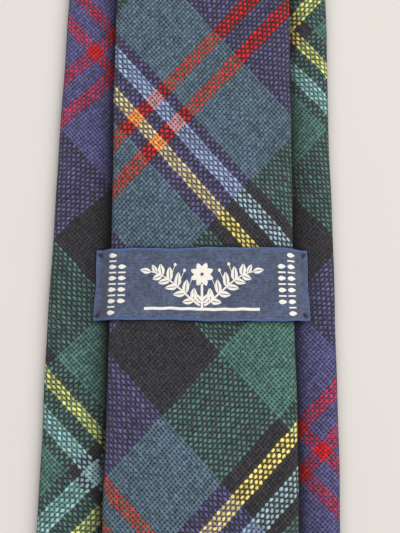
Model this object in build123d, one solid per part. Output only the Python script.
from build123d import *
import math
import os
from typing import Callable, NamedTuple

# A bias-cut woollen necktie, lying flat on its front face and folded once at the neck.
# Millimetres. Y runs along the tie, from the wide blade's point up to the neck fold. Z is up.
# The wide blade's face rests on Z = 0. The tail comes back over it, face uppermost, passes
# under the keeper label and ends above the wide blade's tip.
# A STATION is the distance from the wide blade's point; Y = station - HALF.
# A DEPTH is measured into the tie from its face: up in the lower layer, down in the upper.

# ---- overall sizes ---------------------------------------------------------------------
LENGTH = 758.0            # wide tip to the outside of the neck fold
HALF = LENGTH / 2
THICK = 3.6               # face cloth, interlining and back cloth together
CLOTH = 0.5               # wool cloth
GAP = 0.1                 # each side of a flex line, and between layers
FOLD_R = 11.0             # outside radius of the neck fold
FOLD_Y = LENGTH - FOLD_R  # station of the fold's centre
NECK_W = 36.0             # width round the fold

# ---- cloth section ---------------------------------------------------------------------
ROLL = 1.2                # bevel of the rolled edge
INNER_ROLL = ROLL + 0.2   # the cloth's inside bevel, from the outside edge
HOLLOW_ROLL = ROLL + 0.4  # the same for the hollow in a tip
HOLLOW_EASE = 0.4         # the hollow's section is drawn this much narrower than the tip
FLAP_LAP = 4.0            # each back flap passes the centre line by this much
FLAP_STEP = 9.0           # length of the under flap that is stepped down
FLAP_DROP = 0.6           # how far it is stepped down
INNER = 1.9               # how far interlining and lining stay inside the folded edge

# (nearest, farthest) depth of each layer
INTERLINING = (0.6, 2.1)
NECK_INTERLINING = (0.9, 2.1)
LINING = (2.2, 2.4)
STITCH = (2.6, 2.9)
RESERVE_LOOP = (2.5, 2.8)
SEAM = (0.55, 0.85)
STITCH_X = (5.1, 5.4)     # the slip stitch's two sides
THREAD = 0.35             # thickness of the reserve loop, in plan

# ---- stations --------------------------------------------------------------------------
KEEPER_Y = 225.0
TAIL_SPLIT = 400.0        # where the sliding part of the tail ends
TAIL_BEND = 427.0         # where the tail starts to rise to the fold
SHIFT_END = 475.0         # where the tail is back on the centre line
NECK_BEND = 592.5         # where the neck loop bends on both layers
FRONT_SHOULDER = 45.0
TAIL_TIP = 96.0
TAIL_SHOULDER = 122.5

# ---- heights and sideways shift of the tail --------------------------------------------
TAIL_SHIFT = 2.7          # towards +X at the keeper
PIVOT_LOWER = 3.7         # pivot of the lower layer's neck bend
PIVOT_TAIL = 7.6          # pivot where the tail leaves the flat
PIVOT_FOLD = FOLD_R       # crease at the fold
PIVOT_UPPER = PIVOT_TAIL + PIVOT_FOLD - PIVOT_LOWER  # the four make a parallelogram
LEVEL_TAIL = 7.5          # the tail's face where it lies flat
LEVEL_BEND = PIVOT_UPPER + 0.05 + THICK  # the tail's face at the neck bend

# (station, value)
FRONT_WIDTHS = [
    (0, 2.6), (FRONT_SHOULDER, 88.0), (KEEPER_Y, 80.4), (305, 77.0), (400, 69.0),
    (500, 55.0), (NECK_BEND, 43.0), (660, 38.0), (FOLD_Y, NECK_W),
]
TAIL_WIDTHS = [
    (TAIL_TIP, 2.6), (TAIL_SHOULDER, 53.0), (KEEPER_Y, 51.5), (305, 50.3),
    (TAIL_BEND, 46.0), (NECK_BEND, 39.0), (FOLD_Y, NECK_W),
]
TAIL_LEVELS = [
    (0, LEVEL_TAIL), (TAIL_BEND, LEVEL_TAIL), (NECK_BEND, LEVEL_BEND), (FOLD_Y, 2 * FOLD_R),
]


def interpolate(rows, station):
    for (y0, a), (y1, b) in zip(rows, rows[1:]):
        if station <= y1:
            return a + (b - a) * (station - y0) / (y1 - y0)
    return rows[-1][1]


# ---- places: each turns (x, depth) into a point ----------------------------------------
def front_at(station):
    """On the wide blade."""
    return lambda x, depth: (x, station - HALF, depth)


def tail_at(station):
    """On the tail."""
    shift = TAIL_SHIFT * max(0.0, (SHIFT_END - station) / (SHIFT_END - KEEPER_Y))
    level = interpolate(TAIL_LEVELS, station)
    return lambda x, depth: (x + shift, station - HALF, level - depth)


def fold_at(degrees):
    """Round the neck fold; -90 is the lower layer and +90 the upper."""
    angle = math.radians(degrees)
    return lambda x, depth: (
        x,
        FOLD_Y - HALF + (FOLD_R - depth) * math.cos(angle),
        FOLD_R + (FOLD_R - depth) * math.sin(angle),
    )


# ---- solids ----------------------------------------------------------------------------
def polygon(points):
    return Face(Wire.make_polygon([Vector(*p) for p in points], close=True))


def skin_rings(rings):
    """A solid of straight-edged faces through closed rings of equal point count."""
    count = len(rings[0])
    faces = [polygon(rings[0]), polygon(rings[-1])]
    for a, b in zip(rings, rings[1:]):
        for i in range(count):
            j = (i + 1) % count
            faces.append(polygon([a[i], a[j], b[j], b[i]]))
    solid = Solid(Shell(faces))
    if solid.volume < 0:
        solid = Solid(Shell([-f for f in faces]))
    return solid


def run(places, sections):
    """One section of (x, depth) points at each place."""
    return skin_rings([[at(x, d) for x, d in sec] for at, sec in zip(places, sections)])


def prism(points, z0, z1):
    """Upright prism on an outline given as (x, station)."""
    return skin_rings([[(x, y - HALF, z) for x, y in points] for z in (z0, z1)])


def slab(x0, x1, depths):
    d0, d1 = depths
    return [(x0, d0), (x1, d0), (x1, d1), (x0, d1)]


def sheet(places, widths, depths):
    """Interlining or lining."""
    return run(places, [slab(-w / 2 + INNER, w / 2 - INNER, depths) for w in widths])


def stitch(places):
    """Slip-stitch thread."""
    return run(places, [slab(*STITCH_X, STITCH)] * len(places))


def cloth_section(width, over=-FLAP_LAP, under=FLAP_LAP):
    """Face, rolled edges and two back flaps, the +X one outside the -X one.
    over and under are the flaps' free edges."""
    left, right = -width / 2, width / 2
    back, inside = THICK, THICK - CLOTH
    step = under - FLAP_STEP
    return [
        (left + ROLL, 0), (right - ROLL, 0), (right, ROLL), (right, back - ROLL),
        (right - ROLL, back), (over, back), (over, inside), (right - INNER_ROLL, inside),
        (right - CLOTH, back - INNER_ROLL), (right - CLOTH, INNER_ROLL),
        (right - INNER_ROLL, CLOTH), (left + INNER_ROLL, CLOTH),
        (left + CLOTH, INNER_ROLL), (left + CLOTH, back - INNER_ROLL),
        (left + INNER_ROLL, inside), (step - 1.4, inside), (step - 0.4, inside - FLAP_DROP),
        (under, inside - FLAP_DROP), (under, back - FLAP_DROP), (step, back - FLAP_DROP),
        (step - 1.0, back), (left + ROLL, back), (left, back - ROLL), (left, ROLL),
    ]


def bevelled_section(width, inset=0.0, roll=ROLL):
    """Whole layer, or the hollow inset within it; roll is measured from the outside."""
    left, right = -width / 2, width / 2
    return [
        (left + roll, inset), (right - roll, inset),
        (right - inset, roll), (right - inset, THICK - roll),
        (right - roll, THICK - inset), (left + roll, THICK - inset),
        (left + inset, THICK - roll), (left + inset, roll),
    ]


# ---- the two blades --------------------------------------------------------------------
class Blade(NamedTuple):
    place: Callable
    widths: list
    tip: float                # station of the point
    shoulder: float           # where the point reaches full width
    hinge: float              # where the tip lifts
    hem: float                # turned hem, along the centre line
    opening_half: float       # half width between the back flaps at the shoulder
    opening_top: float        # where the back flaps meet
    stations: list            # remaining sections of the body
    lining_end: float
    stitch_stations: list
    tack_station: float
    tack_half_length: float
    tack_left: float          # x of the bar tack's -X end, from the layer's centre
    tack_lift: float          # bar tack's clearance from the back
    loop_station: float
    loop_half_length: float
    loop_half_width: float


BLADES = {
    "front": Blade(
        place=front_at, widths=FRONT_WIDTHS,
        tip=0.0, shoulder=FRONT_SHOULDER, hinge=72.0, hem=11.5,
        opening_half=32.6, opening_top=115.0,
        stations=[KEEPER_Y, 305, 400, 500, NECK_BEND - GAP],
        lining_end=125.0, stitch_stations=[122.0, 300.0, NECK_BEND - 1.0],
        tack_station=118.3, tack_half_length=0.9, tack_left=-8.0, tack_lift=0.03,
        loop_station=101.0, loop_half_length=4.2, loop_half_width=2.5,
    ),
    "tail": Blade(
        place=tail_at, widths=TAIL_WIDTHS,
        tip=TAIL_TIP, shoulder=TAIL_SHOULDER, hinge=150.0, hem=8.0,
        opening_half=17.5, opening_top=165.0,
        stations=[KEEPER_Y, 305, TAIL_SPLIT - GAP],
        lining_end=172.0, stitch_stations=[170.0, TAIL_SPLIT - 1.0],
        tack_station=169.0, tack_half_length=0.8, tack_left=-6.0, tack_lift=0.04,
        loop_station=154.1, loop_half_length=3.3, loop_half_width=2.0,
    ),
}
TACK_RIGHT = 3.0          # x of the bar tack's +X end, from the layer's centre
TACK_TOP = 0.22           # its far side, from the back


def places_and_widths(place, widths, stations):
    return [place(y) for y in stations], [interpolate(widths, y) for y in stations]


def opening_half_at(blade, station):
    run_out = (blade.opening_top - station) / (blade.opening_top - blade.shoulder)
    return blade.opening_half * run_out


def blade_prism(blade, station, offsets, depths):
    """Upright prism on (x, station) offsets from the layer's centre at a station."""
    at = blade.place(station)
    x = at(0, 0)[0]
    z0, z1 = [at(0, d)[2] for d in depths]
    return prism([(x + dx, station + dy) for dx, dy in offsets], z0, z1)


def reserve_loop(blade):
    """A slack loop of sewing thread left at the end of the slip stitch."""
    def oval(shrink, depths):
        a, b = blade.loop_half_width - shrink, blade.loop_half_length - shrink
        angles = [math.radians(k) for k in range(0, 360, 30)]
        offsets = [(a * math.cos(t), b * math.sin(t)) for t in angles]
        return blade_prism(blade, blade.loop_station, offsets, depths)

    near, far = RESERVE_LOOP
    return oval(0, RESERVE_LOOP) - oval(THREAD, (near - 1, far + 1))


def blade_body(name, blade):
    stations = [blade.hinge + GAP, blade.opening_top] + blade.stations
    places, widths = places_and_widths(blade.place, blade.widths, stations)
    edge = opening_half_at(blade, stations[0])
    sections = [cloth_section(widths[0], over=edge, under=-edge)]
    sections += [cloth_section(w) for w in widths[1:]]
    lined = places_and_widths(blade.place, blade.widths, [stations[0], blade.lining_end])
    left, half = blade.tack_left, blade.tack_half_length
    tack = [(left, -half), (TACK_RIGHT, -half), (TACK_RIGHT, half), (left, half)]
    tack_depths = (THICK + blade.tack_lift, THICK + TACK_TOP)
    return {
        name + "_shell": run(places, sections),
        name + "_interlining": sheet(places, widths, INTERLINING),
        name + "_lining_upper": sheet(*lined, LINING),
        name + "_slip_stitch": stitch([blade.place(y) for y in blade.stitch_stations]),
        name + "_bar_tack": blade_prism(blade, blade.tack_station, tack, tack_depths),
        name + "_reserve_loop": reserve_loop(blade),
    }


def blade_tip(name, blade):
    """A hollow pointed pocket of cloth, with the lining showing in its back opening."""
    def at_stations(start, end):
        return places_and_widths(blade.place, blade.widths, [start, blade.shoulder, end])

    end = blade.hinge - GAP
    past_end = end + 1.0
    places, widths = at_stations(blade.tip, end)
    outer = run(places, [bevelled_section(w) for w in widths])
    places, widths = at_stations(blade.tip + 5.0, past_end)
    hollow = run(
        places, [bevelled_section(w - HOLLOW_EASE, CLOTH, HOLLOW_ROLL) for w in widths]
    )
    wide, narrow = blade.opening_half, opening_half_at(blade, past_end)
    kite = [
        (0, blade.tip + blade.hem), (wide, blade.shoulder), (narrow, past_end),
        (-narrow, past_end), (-wide, blade.shoulder),
    ]
    window = skin_rings(
        [[blade.place(y)(x, depth) for x, y in kite] for depth in (THICK - 1.0, THICK + 1.0)]
    )
    filling = at_stations(blade.tip + 9.0, end)
    return {
        name + "_tip_shell": outer - hollow - window,
        name + "_tip_interlining": sheet(*filling, INTERLINING),
        name + "_tip_lining": sheet(*filling, LINING),
    }


# ---- plain lengths and the neck --------------------------------------------------------
def plain_length(name, places, widths, interlining=NECK_INTERLINING):
    return {
        name + "_shell": run(places, [cloth_section(w) for w in widths]),
        name + "_interlining": sheet(places, widths, interlining),
        name + "_stitch": stitch(places),
    }


def neck():
    """Both layers of the neck loop, parted at the fold's crease."""
    arc = [0.8, 30, 60, 90]  # degrees
    arc_widths = [NECK_W] * len(arc)
    places, widths = places_and_widths(front_at, FRONT_WIDTHS, [NECK_BEND + GAP, 660])
    lower = [fold_at(-d) for d in reversed(arc)]
    pieces = plain_length("neck_front", places + lower, widths + arc_widths)
    places, widths = places_and_widths(tail_at, TAIL_WIDTHS, [NECK_BEND + GAP])
    upper = [fold_at(d) for d in arc]
    return pieces | plain_length("neck_tail", upper + places, arc_widths + widths)


def tail_link():
    """The tail from the neck bend down to its sliding part."""
    leg = [NECK_BEND - GAP, SHIFT_END, TAIL_BEND + GAP]
    bridge = [TAIL_BEND - GAP, TAIL_SPLIT + GAP]
    return plain_length(
        "tail_leg", *places_and_widths(tail_at, TAIL_WIDTHS, leg)
    ) | plain_length(
        "tail_bridge", *places_and_widths(tail_at, TAIL_WIDTHS, bridge), INTERLINING
    )


def gusset_seam(place, station):
    """Bias seam joining neck cloth to a blade; station is its middle at the -X end."""
    half_x, half_band = 15.0, 4.0
    rings = []
    for x, middle in ((-half_x, station), (half_x, station + 2 * half_x)):
        corners = slab(middle - half_band, middle + half_band, SEAM)
        rings.append([place(y)(x, depth) for y, depth in corners])
    return skin_rings(rings)


# ---- keeper label ----------------------------------------------------------------------
LABEL_L = 60.0            # along X
LABEL_W = 20.2            # along Y
LABEL_T = 0.35
LABEL_LOW = THICK + GAP   # underside of its ends, on the wide blade
LABEL_HIGH = LEVEL_TAIL + 0.12  # underside where it crosses the tail


def keeper():
    """A woven band over the tail, and the four tacks on its ends."""
    left, right = TAIL_SHIFT - LABEL_L / 2, TAIL_SHIFT + LABEL_L / 2
    foot, ramp, ease = 1.65, 3.4, 0.25
    # (distance in from the end, z)
    under = [(0, LABEL_LOW), (foot, LABEL_LOW), (foot + ramp, LABEL_HIGH)]
    over = [
        (0, LABEL_LOW + LABEL_T), (foot - ease, LABEL_LOW + LABEL_T),
        (foot + ramp - ease, LABEL_HIGH + LABEL_T),
    ]
    band = [(left + i, z) for i, z in under] + [(right - i, z) for i, z in reversed(under)]
    band += [(right - i, z) for i, z in over] + [(left + i, z) for i, z in reversed(over)]
    sides = (KEEPER_Y - LABEL_W / 2, KEEPER_Y + LABEL_W / 2)
    label = skin_rings([[(x, y - HALF, z) for x, z in band] for y in sides])

    end_inset, side_inset, tack_t = 0.72, 1.9, 0.35
    tack = [(-0.45, -1.3), (0.45, -1.1), (0.45, 1.3), (-0.45, 1.1)]
    z0 = LABEL_LOW + LABEL_T + 0.03
    tacks = [
        prism([(x + dx, y + dy) for dx, dy in tack], z0, z0 + tack_t)
        for x in (left + end_inset, right - end_inset)
        for y in (sides[0] + side_inset, sides[1] - side_inset)
    ]
    return {"keeper_label": label, "keeper_tacks": Compound(children=tacks)}


# ---- build and write -------------------------------------------------------------------
parts = neck() | tail_link() | keeper()
for name, blade in BLADES.items():
    parts |= blade_body(name, blade) | blade_tip(name, blade)
parts["front_gusset_seam"] = gusset_seam(front_at, 626.0)
parts["tail_gusset_seam"] = gusset_seam(tail_at, 500.0)

os.makedirs("parts", exist_ok=True)
for name, shape in parts.items():
    export_step(shape, "parts/" + name + ".step")
